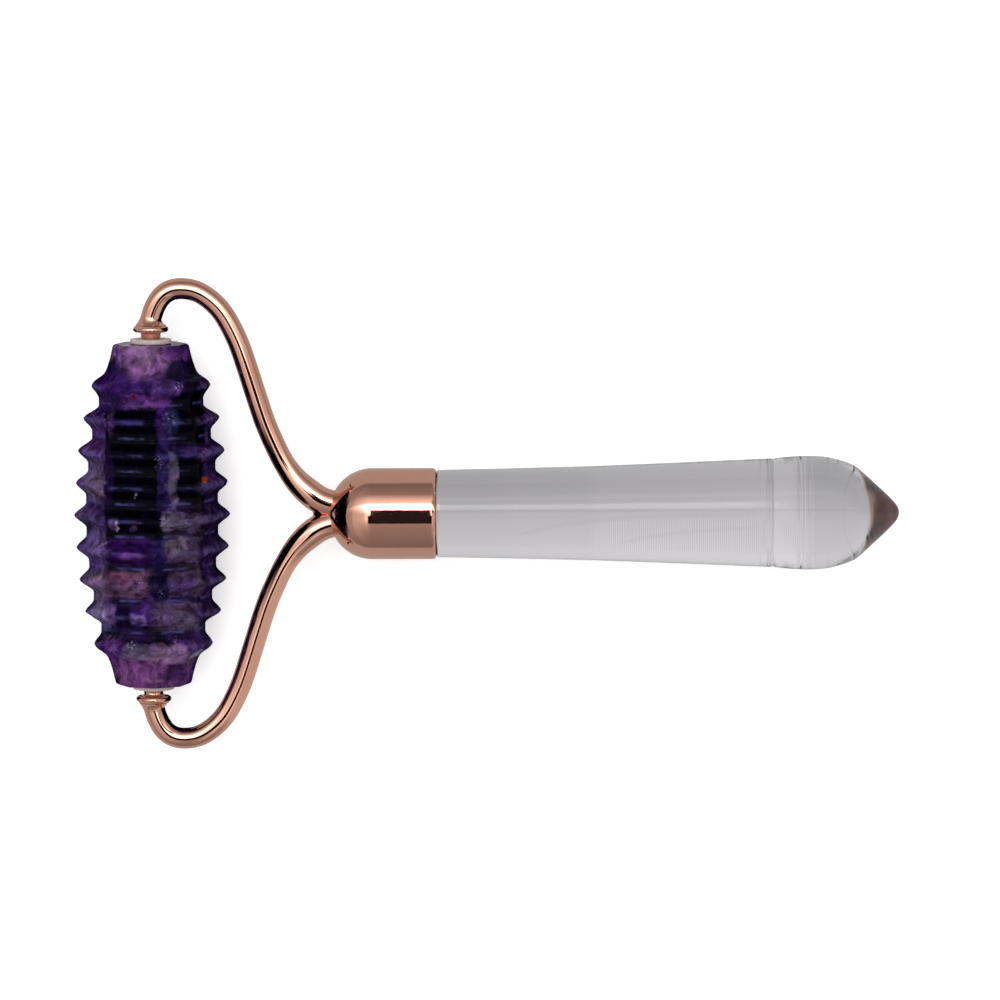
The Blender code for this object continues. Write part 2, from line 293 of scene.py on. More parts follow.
def crystal(name):
    """Clear ground crystal. The wheel left fine rings round the rod, felt in the surface only."""
    mat, t, shader = new_material(name)
    p = t.local()
    x, y, z = (t.node("ShaderNodeSeparateXYZ", {0: p}, out=i) for i in range(3))
    drift = t.noise(t.vector("MULTIPLY", p, (1.0, 0.2, 0.2)), 0.5, 2.0, 0.5)
    phase = t.maths("ADD", t.maths("MULTIPLY", x, TAU / 0.36), t.maths("MULTIPLY", drift, 9.0))
    rings = t.maths("SINE", phase)
    spread = t.noise(t.vector("MULTIPLY", p, (1.0, 0.35, 0.35)), 0.16, 3.0, 0.6)
    amount = t.maths("MULTIPLY", t.remap(spread, 0.38, 0.62, 0.3, 1.0), t.remap(x, 72.0, 84.0, 0.05, 1.0))
    amount = t.maths("MULTIPLY", amount, t.maths("MULTIPLY", t.remap(x, 104.0, 117.0, 1.0, 0.0), t.remap(y, 0.5, -1.5, 0.12, 1.0)))
    streak = t.noise(t.vector("MULTIPLY", p, (0.05, 1.0, 1.0)), 1.1, 3.0, 0.55)
    amount = t.maths("MULTIPLY", amount, t.maths("MULTIPLY", t.remap(t.maths("ABSOLUTE", y), 4.5, 6.8, 1.0, 0.0), t.remap(z, 0.0, 2.0)))
    height = t.maths("ADD", t.maths("MULTIPLY", rings, amount), t.maths("MULTIPLY", streak, t.remap(x, 108.0, 116.0, 0.12, 0.0)))
    bump = t.node("ShaderNodeBump", {"Height": height, "Strength": 0.28, "Distance": 0.0001})
    t.put(shader.inputs["Normal"], bump)
    veil = t.noise(p, 0.12, 4.0, 0.6)
    tone = t.mix(veil, (0.972, 0.948, 0.978), (0.94, 0.915, 0.945))
    # painted reflection: two faint hoops painted into the body's colour on its upper side, where the ground back of the
    # rod gathers the light
    for nose, low, reach, width in ((61.6, -3.2, 4.1, 12.0), (78.6, -4.6, 3.4, 11.0)):
        along = t.maths("MAXIMUM", t.maths("SUBTRACT", x, nose), 0.0)
        fade = t.maths("SUBTRACT", 1.0, t.maths("EXPONENT", t.maths("MULTIPLY", along, -1 / width)))
        top = t.maths("MULTIPLY_ADD", fade, reach, low)
        bottom = t.maths("MULTIPLY_ADD", along, -0.40, low)
        inside = t.maths("MULTIPLY", t.remap(t.maths("SUBTRACT", top, y), -0.25, 0.25), t.remap(t.maths("SUBTRACT", y, bottom), -0.5, 0.5))
        inside = t.maths("MULTIPLY", inside, t.remap(x, nose, nose + 1.5))
        line = t.maths("MULTIPLY", t.remap(t.maths("ABSOLUTE", t.maths("SUBTRACT", top, y)), 0.0, 0.75, 1.0, 0.0), t.remap(x, nose - 1.0, nose + 3.0))
        line = t.maths("MULTIPLY", line, t.remap(x, 98.0, 106.0, 1.0, 0.0))
        inside = t.maths("MULTIPLY", inside, t.remap(x, nose + 4.0, nose + 16.0, 1.0, 0.25))
        facing = t.remap(z, 0.5, 1.5)
        tone = t.mix(t.maths("MULTIPLY", t.maths("MULTIPLY", inside, facing), 0.5), tone, (1.0, 0.985, 1.0))
        tone = t.mix(t.maths("MULTIPLY", t.maths("MULTIPLY", line, facing), 0.55), tone, (0.80, 0.775, 0.80))
    # the glued end, gathered brown in the point
    point = t.remap(t.maths("MULTIPLY_ADD", t.maths("MULTIPLY", y, y), 0.035, x), 121.5, 122.1)
    tone = t.mix(point, tone, (0.45, 0.175, 0.12))
    t.put(shader.inputs["Base Color"], tone)
    t.put(shader.inputs["Roughness"], t.number(point, t.remap(veil, 0.35, 0.7, 0.015, 0.05), 0.2))
    shader.inputs["Transmission Weight"].default_value = 1.0
    shader.inputs["IOR"].default_value = 1.64
    return mat


# Colours of the stone, named as a lapidary would.
INK = rgb(3, 2, 8)
NAVY = rgb(16, 11, 38)
NIGHT = rgb(20, 11, 38)
INDIGO = rgb(38, 30, 76)
PLUM = rgb(38, 18, 62)
VIOLET = rgb(54, 31, 88)
GRAPE = rgb(80, 44, 102)
ORCHID = rgb(110, 66, 132)
MAUVE = rgb(84, 55, 80)
ROSE = rgb(106, 68, 92)
PINK = rgb(122, 94, 124)
HEATHER = rgb(66, 44, 92)
LAVENDER = rgb(92, 76, 118)
GREY = rgb(86, 76, 92)
SMOKE = rgb(64, 50, 72)
TEAL = rgb(32, 38, 70)
MAROON = rgb(26, 15, 26)
PALE = rgb(150, 138, 168)
HIGHLIGHT_BLUE = rgb(62, 60, 114)

# Clouds and clear windows in the stone as it lies: half width and half height
# of each, in millimetres, round a place across and along the roller.
# (shape, across, along, half across, half along, softness, colour, strength)
PATCHES = (
    # the flanks
    ("box", -11.2, 1.0, 3.9, 15.0, 0.3, HEATHER, 0.62),
    ("oval", -9.6, 5.6, 2.0, 3.6, 0.6, GREY, 0.6),
    ("oval", -8.6, 4.4, 0.9, 1.6, 0.6, PINK, 0.4),
    ("oval", -10.6, 12.5, 2.6, 2.2, 0.6, GRAPE, 0.5),
    ("oval", -11.0, -2.0, 1.8, 2.0, 0.6, NAVY, 0.7),
    ("oval", -9.2, -4.6, 1.9, 2.6, 0.6, LAVENDER, 0.6),
    ("oval", -10.2, 17.6, 2.6, 1.6, 0.5, PLUM, 0.8),
    # lower end
    ("oval", -0.8, -27.0, 7.4, 3.2, 0.5, rgb(84, 48, 90), 0.95),
    ("oval", -2.2, -27.2, 3.6, 1.5, 0.8, rgb(112, 70, 120), 0.4),
    ("box", 3.9, -26.7, 1.5, 1.5, 0.35, rgb(54, 29, 72), 0.9),
    ("oval", 0.4, -28.2, 1.6, 0.4, 0.8, PINK, 0.6),
    ("oval", -6.4, -22.8, 2.6, 1.8, 0.6, GRAPE, 0.75),
    ("box", 3.3, -23.6, 3.4, 1.5, 0.55, PINK, 0.62),
    ("oval", -2.4, -23.4, 2.4, 1.3, 0.7, GREY, 0.7),
    ("oval", 6.9, -21.6, 2.0, 1.6, 0.6, HEATHER, 0.6),
    # lower rings
    ("oval", -8.5, -17.0, 2.7, 2.6, 0.5, LAVENDER, 0.75),
    ("oval", -8.9, -16.6, 1.4, 1.5, 0.7, PALE, 0.32),
    ("box", -4.5, -16.9, 1.25, 2.7, 0.3, NIGHT, 0.95),
    ("box", -1.4, -16.6, 2.0, 2.4, 0.4, VIOLET, 0.7),
    ("box", -1.9, -17.9, 1.3, 0.9, 0.5, LAVENDER, 0.8),
    ("box", -2.2, -20.4, 2.6, 0.9, 0.5, PLUM, 0.9),
    ("box", 4.4, -17.2, 3.9, 2.8, 0.4, SMOKE, 0.9),
    ("box", 5.8, -17.7, 1.9, 1.2, 0.5, GREY, 0.55),
    ("box", 3.8, -20.6, 3.4, 0.7, 0.6, NIGHT, 0.7),
    # lower middle
    ("box", -4.4, -12.0, 3.9, 2.3, 0.55, MAUVE, 0.95),
    ("oval", -4.6, -10.4, 3.2, 0.6, 0.7, ROSE, 0.6),
    ("oval", -3.6, -12.9, 2.4, 0.6, 0.8, GREY, 0.4),
    ("box", -3.4, -8.9, 3.8, 0.5, 0.5, MAROON, 0.9),
    ("box", -3.6, -14.7, 3.2, 0.5, 0.5, NIGHT, 0.85),
    ("oval", -9.8, -12.2, 2.2, 2.7, 0.5, GREY, 0.75),
    ("oval", -9.4, -11.4, 1.2, 1.0, 0.7, PINK, 0.4),
    ("box", 1.8, -11.6, 1.2, 3.2, 0.3, NAVY, 0.95),
    ("box", 1.4, -6.2, 1.1, 2.2, 0.4, INDIGO, 0.85),
    ("box", 6.0, -1.4, 2.8, 1.5, 0.35, SMOKE, 0.95),
    ("oval", 4.7, -1.2, 1.4, 1.2, 0.7, GREY, 0.6),
    ("oval", 2.9, -1.3, 1.5, 1.7, 0.6, GREY, 0.8),
    ("box", 5.6, -5.9, 2.9, 2.2, 0.3, SMOKE, 0.95),
    ("oval", 4.5, -5.4, 1.6, 1.6, 0.7, GREY, 0.7),
    ("box", 6.0, -11.8, 2.7, 2.2, 0.3, SMOKE, 0.9),
    ("oval", 5.6, -12.2, 2.0, 1.2, 0.7, HEATHER, 0.7),
    ("box", 6.0, -3.3, 2.9, 0.35, 0.5, MAROON, 0.9),
    ("box", 6.0, -8.9, 2.9, 0.55, 0.5, MAROON, 0.85),
    ("box", 6.0, -14.5, 2.9, 0.5, 0.6, NIGHT, 0.85),
    # middle, the clear dark window of the left face
    ("box", -2.6, 6.9, 4.8, 11.1, 0.07, INK, 1.0),
    ("box", -3.2, -6.2, 3.7, 2.5, 0.3, PLUM, 0.9),
    ("oval", -3.1, -7.1, 2.0, 0.6, 0.9, ORCHID, 0.6),
    ("oval", -5.9, -1.6, 1.0, 0.9, 0.6, LAVENDER, 0.6),
    ("oval", -5.5, -1.8, 0.3, 0.8, 0.5, PALE, 0.9),
    ("oval", -2.5, -2.3, 0.6, 0.45, 0.7, GRAPE, 0.8),
    ("oval", -3.2, 15.5, 2.3, 0.5, 0.9, INDIGO, 0.8),
    ("oval", -6.4, 15.4, 0.7, 2.1, 0.7, HEATHER, 0.55),
    ("oval", -6.6, 6.0, 0.7, 5.0, 0.7, PLUM, 0.6),
    # corner column and the black right face
    ("box", 2.5, 9.4, 1.0, 8.7, 0.35, rgb(36, 26, 64), 0.9),
    ("oval", 2.1, 16.2, 1.0, 2.2, 0.6, VIOLET, 0.8),
    ("box", 6.5, 16.2, 2.6, 4.4, 0.2, INK, 1.0),
    ("box", 6.5, 5.8, 2.5, 3.9, 0.2, INK, 1.0),
    ("box", 6.3, 10.7, 2.6, 1.3, 0.3, NAVY, 0.85),
    ("oval", 6.6, 10.9, 2.0, 0.5, 0.9, HEATHER, 0.5),
    ("box", 6.4, 1.2, 2.6, 0.8, 0.5, MAROON, 0.75),
    ("oval", 4.1, 15.7, 1.2, 2.0, 0.4, TEAL, 0.95),
    ("oval", 4.2, 5.4, 0.8, 5.2, 0.6, GREY, 0.65),
    # upper rings and end
    ("box", -2.8, 21.7, 5.2, 1.6, 0.5, rgb(46, 26, 78), 0.95),
    ("oval", 3.3, 21.6, 2.2, 1.6, 0.6, HEATHER, 0.75),
    ("oval", 7.1, 20.4, 1.9, 2.3, 0.4, INK, 0.95),
    ("oval", -6.9, 19.4, 2.6, 2.0, 0.5, PLUM, 0.8),
    ("oval", -0.4, 19.1, 3.7, 1.2, 0.6, GRAPE, 0.85),
    ("oval", -0.7, 18.4, 3.2, 0.4, 0.9, ORCHID, 0.6),
    ("oval", -0.9, 26.2, 4.6, 3.3, 0.5, rgb(112, 77, 122), 0.92),
    ("oval", -0.6, 27.0, 2.0, 2.2, 0.7, PINK, 0.5),
    ("oval", -2.8, 28.3, 2.8, 0.7, 0.8, PINK, 0.5),
    ("oval", -6.0, 27.6, 1.7, 1.5, 0.6, rgb(98, 66, 118), 0.9),
    ("oval", -6.6, 23.6, 3.0, 2.4, 0.6, PLUM, 0.9),
    ("oval", 4.7, 27.4, 2.5, 1.5, 0.5, GRAPE, 0.85),
    ("oval", 5.2, 24.2, 2.3, 1.8, 0.4, NIGHT, 0.9),
)
# Crushed spots, with painted glints in them: across, along, size, strength.
SPARKS = (
    (4.9, 21.8, 0.7, 1.0), (3.5, 16.0, 1.2, 0.55), (1.9, 8.6, 0.9, 0.45), (3.2, 4.6, 0.6, 0.8), (2.5, -1.0, 0.8, 0.6),
    (-1.4, -10.9, 0.8, 0.55), (-7.6, -18.3, 0.8, 0.7), (-3.2, -22.3, 1.0, 0.6), (3.7, -21.5, 0.9, 0.5),
    (-8.0, -4.9, 0.8, 0.45), (6.6, -1.8, 0.7, 0.6), (2.2, -13.4, 0.8, 0.4), (-2.1, 3.2, 0.35, 0.9),
)


def amethyst(name):
    """Banded amethyst: clear dark windows, violet bulk, milky clouds, red iron specks."""
    mat, t, shader = new_material(name)
    p = t.local()
    x, y, z = (t.node("ShaderNodeSeparateXYZ", {0: p}, out=i) for i in range(3))
    ridge = t.node("ShaderNodeAttribute", attribute_name="ridge", attribute_type="GEOMETRY", out=2)
    corner = t.node("ShaderNodeAttribute", attribute_name="corner", attribute_type="GEOMETRY", out=2)
    middle_of = t.node("ShaderNodeAttribute", attribute_name="valley", attribute_type="GEOMETRY", out=2)

    # bulk: clouds of violet in a darker body, split by flat healed cracks
    warp = t.noise(p, 0.09, 3.0, 0.55, colour=True)
    shift = t.vector("MULTIPLY", t.vector("SUBTRACT", warp, (0.5, 0.5, 0.5)), (9.0, 9.0, 9.0))
    bent = t.vector("ADD", p, shift)
    big = t.noise(bent, 0.085, 3.0, 0.5)
    middle = t.noise(bent, 0.22, 5.0, 0.6)
    colour = t.mix(t.remap(big, 0.36, 0.62), NAVY, VIOLET)
    colour = t.mix(t.maths("MULTIPLY", t.remap(middle, 0.52, 0.68), 0.65), colour, GREY)
    colour = t.mix(t.maths("MULTIPLY", t.remap(middle, 0.46, 0.32), 0.85), colour, INDIGO)
    dark = t.noise(t.vector("ADD", bent, (31.0, 7.0, 12.0)), 0.11, 4.0, 0.55)
    colour = t.mix(t.maths("MULTIPLY", t.remap(dark, 0.52, 0.6), 0.95), colour, INK)
    # painted shade: the side towards the handle is darkened, darkest low down and underneath
    colour = t.mix(t.maths("MULTIPLY", t.remap(x, 8.0, 10.5), t.remap(z, 9.0, 3.0, 0.4, 0.75)), colour, rgb(44, 29, 62))
    colour = t.mix(t.maths("MULTIPLY", t.remap(x, 8.0, 10.5), t.remap(z, 2.5, -1.0, 0.0, 0.75)), colour, INK)

    # the placed clouds, on the side that faces up
    upward = t.remap(z, -1.0, 3.0)
    sway = t.noise(p, 0.42, 5.0, 0.62, colour=True)
    sway = t.vector("MULTIPLY", t.vector("SUBTRACT", sway, (0.5, 0.5, 0.5)), (2.3, 2.3, 2.3))
    slid = t.maths("SUBTRACT", t.maths("MULTIPLY", y, 0.9939), t.maths("MULTIPLY", z, 0.1106))
    flat = t.node("ShaderNodeCombineXYZ", {0: x, 1: slid, 2: 0.0})
    swayed = t.vector("MULTIPLY", t.vector("ADD", flat, sway), (1.0, 1.0, 0.0))
    for shape, across, along, half_x, half_y, soft, tone, strength in PATCHES:
        to = t.node(
            "ShaderNodeVectorMath",
            {0: swayed, 1: (1 / half_x, 1 / half_y, 0.0), 2: (-across / half_x, -along / half_y, 0.0)},
            operation="MULTIPLY_ADD",
        )
        if shape == "box":
            size = t.vector("ABSOLUTE", to)
            size = t.maths(
                "MAXIMUM",
                t.node("ShaderNodeSeparateXYZ", {0: size}, out=0),
                t.node("ShaderNodeSeparateXYZ", {0: size}, out=1),
            )
        else:
            size = t.vector("LENGTH", to)
        share = t.remap(size, 1.0 - soft * 0.6, 1.0 + soft * 0.6, strength, 0.0)
        colour = t.mix(t.maths("MULTIPLY", share, upward), colour, tone)

    # mottling, and flat-sided grains that each catch the light a little differently, painted as a lighter or darker
    # tone per grain; and painted shade, darker groove floors and lighter crests
    grain = t.noise(t.vector("ADD", bent, (3.0, 5.0, 9.0)), 0.62, 5.0, 0.58)
    wobble = t.vector("ADD", p, t.vector("MULTIPLY", sway, (1.2, 1.2, 1.2)))
    cell = t.node("ShaderNodeTexVoronoi", {"Vector": wobble, "Scale": 0.30, "Randomness": 1.0}, out=1)
    cell = t.node("ShaderNodeSeparateXYZ", {0: cell}, out=0)
    small = t.node("ShaderNodeTexVoronoi", {"Vector": wobble, "Scale": 0.85, "Randomness": 1.0}, out=1)
    small = t.node("ShaderNodeSeparateXYZ", {0: small}, out=1)
    value = t.remap(grain, 0.32, 0.7, 0.22, 1.72, smooth=False)
    value = t.maths("MULTIPLY", value, t.remap(cell, 0.0, 1.0, 0.72, 1.3, smooth=False))
    value = t.maths("MULTIPLY", value, t.remap(small, 0.0, 1.0, 0.86, 1.16, smooth=False))
    # painted shade: groove floors darker, ring crests lighter
    value = t.maths("MULTIPLY", value, t.remap(ridge, 0.0, 1.0, 0.86, 1.12, smooth=False))
    colour = t.node("ShaderNodeHueSaturation", {"Color": colour, "Value": value, "Saturation": 1.08, "Hue": 0.5})
    # healed cracks: milky curls in the clouded parts, and a few dark ones
    curl = t.noise(t.vector("ADD", bent, (17.0, 3.0, 5.0)), 0.62, 3.0, 0.6)
    curl = t.remap(t.maths("ABSOLUTE", t.maths("SUBTRACT", curl, 0.5)), 0.0, 0.014, 1.0, 0.0)
    milky = t.remap(t.node("ShaderNodeRGBToBW", {"Color": colour}), 0.008, 0.03)
    curl = t.maths("MULTIPLY", t.maths("MULTIPLY", curl, t.remap(value, 0.75, 1.25)), milky)
    colour = t.mix(t.maths("MULTIPLY", curl, 0.26), colour, rgb(122, 108, 142))
    crack = t.noise(t.vector("ADD", bent, (5.0, 23.0, 11.0)), 0.4, 3.0, 0.55)
    crack = t.remap(t.maths("ABSOLUTE", t.maths("SUBTRACT", crack, 0.5)), 0.0, 0.02, 1.0, 0.0)
    colour = t.mix(t.maths("MULTIPLY", crack, 0.24), colour, NIGHT)
    feather = t.noise(t.vector("MULTIPLY", bent, (1.0, 0.6, 1.0)), 1.2, 4.0, 0.7)
    open_sky = t.remap(value, 0.7, 1.1)
    colour = t.mix(t.maths("MULTIPLY", t.maths("MULTIPLY", t.remap(feather, 0.58, 0.7), open_sky), t.maths("MULTIPLY", milky, 0.22)), colour, LAVENDER)

    # painted highlight: crests and the floors of the grooves carry a thin blue gleam, broken up
    broken = t.remap(t.noise(t.vector("MULTIPLY", p, (0.4, 1.2, 0.4)), 0.9, 3.0, 0.6), 0.42, 0.6, 0.1, 1.0)
    gleam = t.maths("MAXIMUM", t.maths("MULTIPLY", t.remap(ridge, 0.86, 0.99), 0.55), t.remap(middle_of, 0.42, 0.92))
    gleam = t.maths("MULTIPLY", t.maths("MULTIPLY", gleam, broken), t.remap(corner, 0.75, 0.2))
    colour = t.mix(t.maths("MULTIPLY", gleam, 0.8), colour, HIGHLIGHT_BLUE)

    # painted light: thin ring tips are lightened towards lavender where light comes through them; the corners are
    # lightened a little towards heather
    outer = t.remap(t.maths("ABSOLUTE", x), 7.5, 9.5)
    tip = t.maths("MULTIPLY", t.remap(ridge, 0.5, 1.0), t.maths("MAXIMUM", t.maths("MULTIPLY", t.remap(corner, 0.9, 1.0), milky), outer))
    mottle = t.remap(grain, 0.38, 0.6, 0.1, 1.0)
    colour = t.mix(t.maths("MULTIPLY", t.maths("MULTIPLY", tip, mottle), 0.4), colour, LAVENDER)
    # the corners lightened a little towards heather
    corner_lightening = t.maths("MULTIPLY", t.remap(corner, 0.975, 1.0), t.maths("MULTIPLY", milky, 0.25))
    colour = t.mix(corner_lightening, colour, HEATHER)

    # crushed spots with painted glints in them, and a thin scatter of painted glints elsewhere
    crush = t.node("ShaderNodeTexVoronoi", {"Vector": p, "Scale": 3.2, "Randomness": 1.0}, out=1)
    glint = t.node("ShaderNodeSeparateXYZ", {0: crush}, out=0)
    spots = 0.0
    for across, along, size, strength in SPARKS:
        to = t.node(
            "ShaderNodeVectorMath",
            {0: swayed, 1: (1 / size, 1 / size, 0.0), 2: (-across / size, -along / size, 0.0)},
            operation="MULTIPLY_ADD",
        )
        spots = t.maths("MAXIMUM", t.remap(t.vector("LENGTH", to), 0.2, 1.4, strength, 0.0), spots)
    spots = t.maths("MULTIPLY", spots, upward)
    spot_glints = t.maths("MULTIPLY", spots, t.remap(glint, 0.68, 0.88))
    # painted glints in the crushed spots
    colour = t.mix(t.maths("MULTIPLY", spot_glints, 0.75), colour, PALE)
    colour = t.mix(t.maths("MULTIPLY", t.maths("MULTIPLY", spots, t.remap(glint, 0.4, 0.25)), 0.6), colour, INK)
    # painted glints scattered thinly over the cloudy parts
    glint_scatter = t.node("ShaderNodeTexVoronoi", {"Vector": p, "Scale": 1.35, "Randomness": 1.0}, out=0)
    glint_scatter = t.maths("MULTIPLY", t.remap(glint_scatter, 0.13, 0.06), t.maths("MULTIPLY", t.remap(middle, 0.5, 0.6, 0.15, 0.5), milky))
    colour = t.mix(glint_scatter, colour, PALE)

    # specks of iron oxide
    for across, along, size, tone in ((-2.5, 19.7, 0.38, rgb(92, 8, 12)), (9.35, 5.7, 0.5, rgb(146, 46, 16))):
        drift = t.vector("ADD", flat, t.vector("MULTIPLY", sway, (0.5, 0.5, 0.5)))
        to = t.node(
            "ShaderNodeVectorMath",
            {0: t.vector("MULTIPLY", drift, (1.0, 1.0, 0.0)),
             1: (1 / size, 0.75 / size, 0.0), 2: (-across / size, -0.75 * along / size, 0.0)},
            operation="MULTIPLY_ADD",
        )
        speck = t.maths("MULTIPLY", t.remap(t.vector("LENGTH", to), 0.4, 1.2, 1.0, 0.0), upward)
        colour = t.mix(speck, colour, tone)

    t.put(shader.inputs["Base Color"], colour)
    polish = t.remap(grain, 0.35, 0.7, 0.10, 0.2, smooth=False)
    rough = t.maths("ADD", polish, t.maths("MULTIPLY", t.remap(corner, 0.96, 1.0), 0.15))
    rough = t.maths("ADD", rough, t.maths("MULTIPLY", spots, 0.1))
    t.put(shader.inputs["Roughness"], rough)
    shader.inputs["IOR"].default_value = 1.54
    shader.inputs["Specular IOR Level"].default_value = 0.05
    pits = t.node("ShaderNodeTexVoronoi", {"Vector": p, "Scale": 1.9, "Randomness": 1.0}, out=0)
    rub = t.noise(t.vector("MULTIPLY", p, (0.5, 2.4, 0.5)), 1.6, 3.0, 0.6)
    height = t.maths("ADD", t.maths("MULTIPLY", rub, 0.25), t.maths("MULTIPLY", grain, 0.3))
    chipped = t.maths("ADD", t.maths("MULTIPLY", t.remap(corner, 0.7, 1.0), 0.8), t.maths("MULTIPLY", spots, 1.6))
    height = t.maths("ADD", height, t.maths("MULTIPLY", pits, chipped))
    bump = t.node("ShaderNodeBump", {"Height": height, "Strength": 0.4, "Distance": 0.00022})
    t.put(shader.inputs["Normal"], bump)
    return mat


MATS = {
    "amethyst": amethyst("amethyst_stone"),
    "rose_gold": rose_gold("rose_gold_arm", 0.055, 0.03),
    "rose_gold_collar": rose_gold("rose_gold_bead", 0.06, 0.03),
    "rose_gold_cap": rose_gold("rose_gold_bell", 0.045, 0.025),
    "nylon_white": nylon("nylon_washer", rgb(190, 175, 172), rgb(172, 156, 152)),
    "nylon_bush": nylon("nylon_sleeve", rgb(196, 192, 184), rgb(172, 166, 158)),
    "steel": steel("steel_pin"),
    "solder": solder("brazed_joint"),
    "clear_glue": glue("amber_glue"),
    "clear_crystal": crystal("ground_crystal"),
}


# ----------------------------------------------------------------------- stone
STONE_PHASE = math.radians(4.2)
RING_Y = (22.05, 16.56, 11.0, 5.5, 0.0)
RING_PITCH = 5.515
RING_TIP = (13.30, 13.00, 12.55, 11.60, 10.17)
VALLEY = (11.25, 10.87, 10.12, 8.92)
FLANK = 2.12
ROUNDING = 80.0


def stone_corner_radius(y):
    """Corner radius of the stone at a station, and how far up a ring's flank it is."""
    y = abs(y)
    ring = min(int(y / RING_PITCH + 0.5), 4)
    off = abs(y - ring * RING_PITCH)
    outward = y > ring * RING_PITCH
    tip = RING_TIP[ring]
    if ring == 4 and outward:
        ends = ((0.0, 10.17), (0.35, 10.02), (0.75, 9.72), (1.1, 9.28), (1.45, 8.76), (1.8, 8.27), (2.15, 7.94),
                (2.55, 7.72), (3.2, 7.46), (3.95, 7.21), (4.65, 7.0), (5.35, 6.82), (6.0, 6.68), (6.55, 6.56),
                (6.85, 6.42), (6.98, 6.28), (7.04, 6.10))
        return float(np.interp(off, [e[0] for e in ends], [e[1] for e in ends])), max(0.0, 1 - off / 1.6)
    floor = VALLEY[ring - 1 if not outward else ring]
    u = 1 - min(off / FLANK, 1.0)
    height = 0.82 * (3 * u * u - 2 * u**3) + 0.18 * u
    height = min(height, 1.0 - 0.10 * max(0.0, 1 - off / 0.35) ** 2 * 0)
    return floor + (tip - floor) * height, height


def stone_rings():
    stations = []
    y = -29.1
    while y < 29.1:
        stations.append(y)
        y += 0.2
    stations.append(29.1)
    stations = sorted({round(s, 4) for s in stations} | {round(k * RING_PITCH, 4) for k in range(-4, 5)})
    kept = []
    ridges = [k * RING_PITCH for k in range(-4, 5)]
    for s in stations:
        near = min(abs(s - r) for r in ridges)
        if kept and s - kept[-1] < 0.07 and near > 1e-3:
            continue
        if kept and s - kept[-1] < 0.07 and near <= 1e-3:
            kept.pop()
        kept.append(s)
    # columns crowd towards each corner
    sector = [0.0, 0.018, 0.042, 0.08, 0.15, 0.26, 0.38, 0.5, 0.62, 0.74, 0.85, 0.92, 0.958, 0.982]
    angles = [STONE_PHASE + TAU / 8 * (k + s) for k in range(8) for s in sector]
    faces = [STONE_PHASE + TAU / 8 * (k + 0.5) for k in range(8)]
    share = []
    for angle in angles:
        total = sum(max(0.0, math.cos(angle - f)) ** ROUNDING for f in faces)
        share.append(1 / total ** (1 / ROUNDING))
    top = 1 / (2 * math.cos(TAU / 16) ** ROUNDING) ** (1 / ROUNDING)
    rings, ridge, corner = [], [], []
    for s in kept:
        radius, up = stone_corner_radius(s)
        ring = []
        for k, (angle, part) in enumerate(zip(angles, share)):
            r = radius * part / top
            near_corner = math.cos(4 * (angle - STONE_PHASE)) ** 2 if math.cos(8 * (angle - STONE_PHASE)) > 0 else 0.0
            place = Vector((r * math.sin(angle), s, r * math.cos(angle)))
            # hand grinding: slow waviness, softer tips and small chips on the corners of the rings
            wave = noise.noise(place * 0.16) * 0.05 + noise.noise(place * 0.7) * 0.022
            tip = up * up
            chip = max(0.0, noise.noise(place * 0.55 + Vector((7.0, 3.0, 5.0))) - 0.18)
            nick = max(0.0, noise.noise(place * 1.7 + Vector((1.0, 9.0, 2.0))) - 0.25)
            cut = tip * (0.30 + 0.70 * near_corner) * (0.75 * chip + 0.30 * nick)
            r -= 0.05 - wave + cut if r > radius * 0.99 or tip > 0.2 else 0.02 - wave * 0.6
            ring.append((r * math.sin(angle), s, r * math.cos(angle)))
            ridge.append(up)
            corner.append(near_corner)
        rings.append(ring)
    return rings, angles, ridge, corner


def build_stone():
    rings, angles, ridge, corner = stone_rings()
    bore = 1.80
    count = len(angles)
    bored = []
    for s in (29.1, 20.0, 0.0, -20.0, -29.1):
        bored.append([(bore * math.sin(a), s, bore * math.cos(a)) for a in angles])
    obj = piece("stone_roller", rings + bored, MATS["amethyst"], "roller", ["roller_stone"], close=True, sharp=28.0)
    valley = []
    for ring in rings:
        y = abs(ring[0][1])
        off = abs((y / RING_PITCH) % 1.0 - 0.5) * RING_PITCH
        valley += [max(0.0, 1 - off / 0.65) if y < 4 * RING_PITCH else 0.0] * len(angles)
    for name, values in (("ridge", ridge), ("corner", corner), ("valley", valley)):
        layer = obj.data.attributes.new(name, "FLOAT", "POINT")
        layer.data.foreach_set("value", np.array(values + [0.0] * (len(obj.data.vertices) - len(values)), np.float32))
    return obj


# ------------------------------------------------------------------------ arms
ARM_PATH = (
    (0.0, 32.3), (0.05, 33.1), (0.55, 34.9), (1.6, 36.8), (3.2, 38.09),
    (5.35, 38.47), (7.7, 38.04), (9.9, 36.75), (12.1, 34.5), (13.7, 31.8),
    (15.0, 28.9), (16.1, 25.7), (17.2, 22.2), (18.3, 18.7), (19.45, 15.3),
    (20.85, 12.0), (22.35, 8.95), (23.55, 7.05), (24.85, 5.4), (26.4, 3.92),
    (28.2, 2.58), (30.4, 1.72), (33.0, 1.5), (36.6, 1.5),
)


def arm_radius(path, along):
    flare = np.clip(1 - along / 1.5, 0, 1) ** 2.2
    return 1.80 + 0.75 * flare + 0.56 * step01((path[:, 0] - 21.6) / 6.0)


